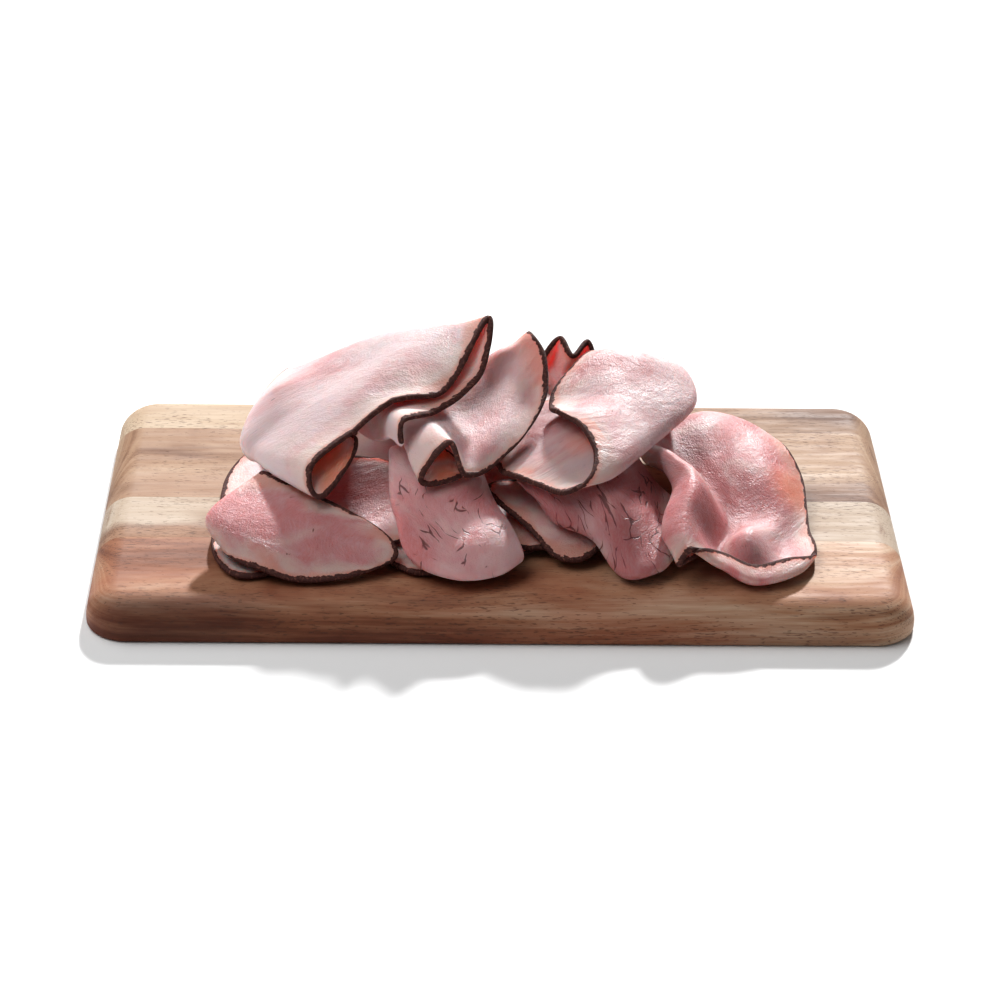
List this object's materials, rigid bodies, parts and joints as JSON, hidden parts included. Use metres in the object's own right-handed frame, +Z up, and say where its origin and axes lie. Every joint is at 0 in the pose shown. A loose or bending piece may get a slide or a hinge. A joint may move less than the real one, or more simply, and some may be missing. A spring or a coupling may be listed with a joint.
{
  "type": "serving board with sliced ham",
  "caption": "Rectangular edge-glued wooden serving board with rounded edges, holding a pile of thin folded smoked ham slices that lift off one after another.",
  "frame": {"origin": "middle of the board's underside", "axes": "+X along the board to the right, +Y to the back, +Z up"},
  "size_m": [0.305, 0.165, 0.0831],
  "materials": {
    "wood_front": "oiled, warm brown",
    "wood_pale": "oiled, pale sapwood",
    "wood_brown": "oiled, streaked brown",
    "wood_tan": "oiled, tan",
    "ham": "moist cooked ham with a dark smoked rind"
  },
  "bodies": {
    "board": {"board_stave_1": "wood_front", "board_stave_2": "wood_pale", "board_stave_3": "wood_brown", "board_stave_4": "wood_tan"},
    "ham_base_slice": {"ham_base": "ham"},
    "ham_left_low_slice": {"ham_left_low": "ham"},
    "ham_mid_low_slice": {"ham_mid_low": "ham"},
    "ham_left_front_slice": {"ham_left_front": "ham"},
    "ham_mid_front_slice": {"ham_mid_front": "ham"},
    "ham_right_mid_slice": {"ham_right_mid": "ham"},
    "ham_right_end_slice": {"ham_right_end": "ham"},
    "ham_back_ruffle_slice": {"ham_back_ruffle": "ham"},
    "ham_right_top_slice": {"ham_right_top": "ham"},
    "ham_mid_top_slice": {"ham_mid_top": "ham"},
    "ham_left_top_slice": {"ham_left_top": "ham"}
  },
  "joints": [
    {"name": "lift_ham_base", "type": "slide", "parent": "board", "child": "ham_base_slice", "axis": [0, 0, 1], "range_m": [0, 0.07]},
    {"name": "lift_ham_left_low", "type": "slide", "parent": "ham_base_slice", "child": "ham_left_low_slice", "axis": [0, 0, 1], "range_m": [0, 0.07]},
    {"name": "lift_ham_mid_low", "type": "slide", "parent": "ham_left_low_slice", "child": "ham_mid_low_slice", "axis": [0, 0, 1], "range_m": [0, 0.07]},
    {"name": "lift_ham_left_front", "type": "slide", "parent": "ham_mid_low_slice", "child": "ham_left_front_slice", "axis": [0, 0, 1], "range_m": [0, 0.07]},
    {"name": "lift_ham_mid_front", "type": "slide", "parent": "ham_left_front_slice", "child": "ham_mid_front_slice", "axis": [0, 0, 1], "range_m": [0, 0.07]},
    {"name": "lift_ham_right_mid", "type": "slide", "parent": "ham_mid_front_slice", "child": "ham_right_mid_slice", "axis": [0, 0, 1], "range_m": [0, 0.07]},
    {"name": "lift_ham_right_end", "type": "slide", "parent": "ham_right_mid_slice", "child": "ham_right_end_slice", "axis": [0, 0, 1], "range_m": [0, 0.07]},
    {"name": "lift_ham_back_ruffle", "type": "slide", "parent": "ham_right_end_slice", "child": "ham_back_ruffle_slice", "axis": [0, 0, 1], "range_m": [0, 0.07]},
    {"name": "lift_ham_right_top", "type": "slide", "parent": "ham_back_ruffle_slice", "child": "ham_right_top_slice", "axis": [0, 0, 1], "range_m": [0, 0.07]},
    {"name": "lift_ham_mid_top", "type": "slide", "parent": "ham_right_top_slice", "child": "ham_mid_top_slice", "axis": [0, 0, 1], "range_m": [0, 0.07]},
    {"name": "lift_ham_left_top", "type": "slide", "parent": "ham_mid_top_slice", "child": "ham_left_top_slice", "axis": [0, 0, 1], "range_m": [0, 0.07]}
  ]
}
